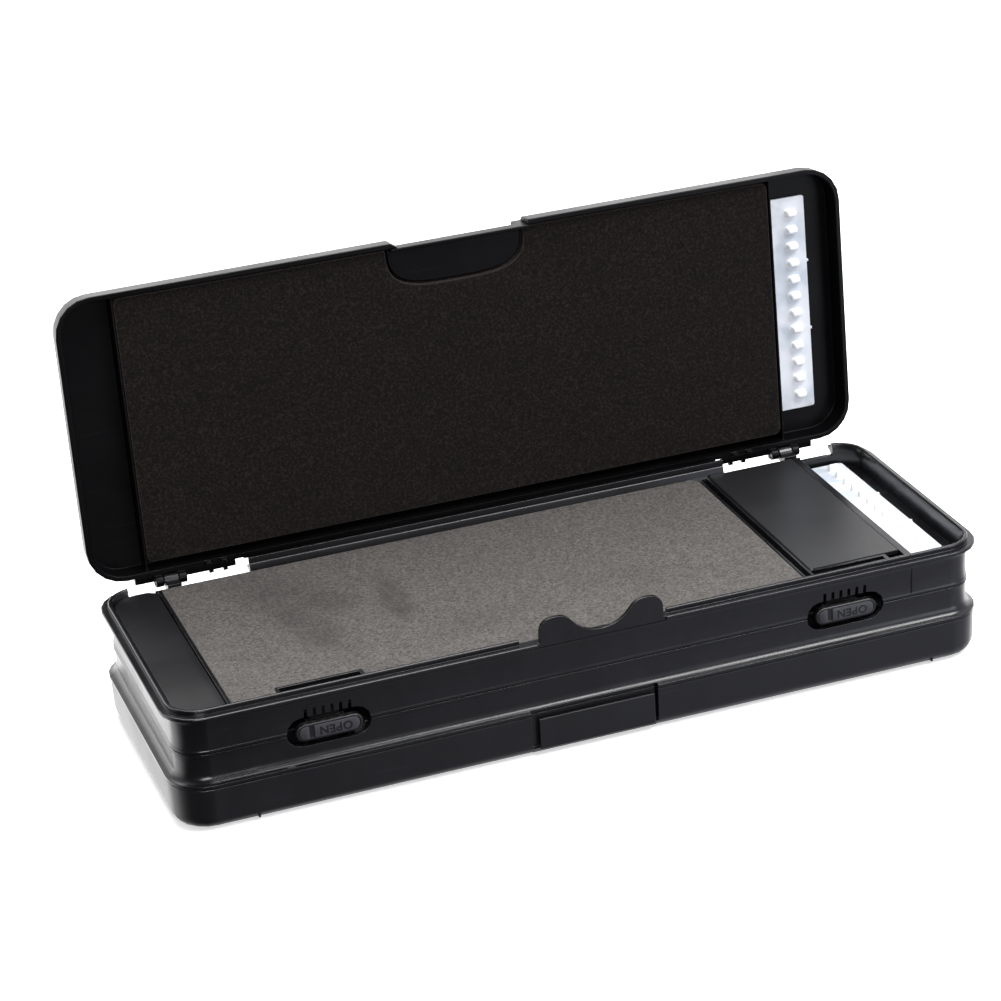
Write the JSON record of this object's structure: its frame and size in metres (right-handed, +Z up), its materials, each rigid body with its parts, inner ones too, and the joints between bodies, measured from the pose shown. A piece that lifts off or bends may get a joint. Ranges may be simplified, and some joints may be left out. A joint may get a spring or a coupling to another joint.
{
  "type": "fishing rig box",
  "caption": "Double-sided black plastic rig box with two hinged lids, foam-lined trays, peg racks, a covered compartment and sliding seam latches, shown with its upper lid open.",
  "frame": {"origin": "centre of the box's footprint, on the underside of the lower lid that the box stands on", "axes": "+X along the length towards the peg racks of the upper half, +Y towards the hinges, +Z up"},
  "size_m": [0.35, 0.1489, 0.175],
  "materials": {
    "tray_shell": "satin moulded",
    "lid_shell": "semi-gloss moulded",
    "base_shell": "satin moulded",
    "shelf_plastic": "satin moulded",
    "cover_plastic": "satin moulded",
    "button_plastic": "satin moulded",
    "grey_foam": "closed-cell foam, matt",
    "black_foam": "closed-cell foam, matt",
    "peg_rack": "milky moulded",
    "hinge_wire": "drawn wire"
  },
  "bodies": {
    "lower_lid_body": {"lower_lid": "base_shell", "lower_lid_foam": "black_foam", "lower_lid_peg_rack": "peg_rack"},
    "lower_tray_body": {"lower_tray": "tray_shell", "lower_tray_foam": "grey_foam", "lower_tray_peg_rack": "peg_rack", "lower_end_shelf": "shelf_plastic", "lower_hinge_pin_left": "hinge_wire", "lower_hinge_pin_right": "hinge_wire", "seam_hinge_pin_left": "hinge_wire", "seam_hinge_pin_right": "hinge_wire"},
    "button_left_body": {"open_button_left": "button_plastic"},
    "button_right_body": {"open_button_right": "button_plastic"},
    "upper_tray_body": {"upper_tray": "tray_shell", "upper_tray_foam": "grey_foam", "upper_tray_peg_rack": "peg_rack", "upper_end_shelf": "shelf_plastic", "upper_hinge_pin_left": "hinge_wire", "upper_hinge_pin_right": "hinge_wire"},
    "cover_body": {"compartment_cover": "cover_plastic"},
    "upper_lid_body": {"upper_lid": "lid_shell", "upper_lid_foam": "black_foam", "upper_lid_peg_rack": "peg_rack"}
  },
  "joints": [
    {"name": "lower_lid_hinge", "type": "hinge", "parent": "lower_lid_body", "child": "lower_tray_body", "pos_m": [0, 0.0643, 0.0195], "axis": [-1, 0, 0], "range_deg": [0, 94]},
    {"name": "seam_hinge", "type": "hinge", "parent": "lower_tray_body", "child": "upper_tray_body", "pos_m": [0, 0.0615, 0.03285], "axis": [1, 0, 0], "range_deg": [-95, 0]},
    {"name": "upper_lid_hinge", "type": "hinge", "parent": "upper_tray_body", "child": "upper_lid_body", "pos_m": [0, 0.0643, 0.0495], "axis": [-1, 0, 0], "range_deg": [-94.86, 0]},
    {"name": "cover_hinge", "type": "hinge", "parent": "upper_tray_body", "child": "cover_body", "pos_m": [0.1014, 0, 0.0487], "axis": [0, -1, 0], "range_deg": [0, 95]},
    {"name": "button_left_press", "type": "slide", "parent": "lower_tray_body", "child": "button_left_body", "axis": [0, 1, 0], "range_m": [0, 0.002], "stiffness_N_per_m": 400},
    {"name": "button_right_press", "type": "slide", "parent": "lower_tray_body", "child": "button_right_body", "axis": [0, 1, 0], "range_m": [0, 0.002], "stiffness_N_per_m": 400}
  ]
}
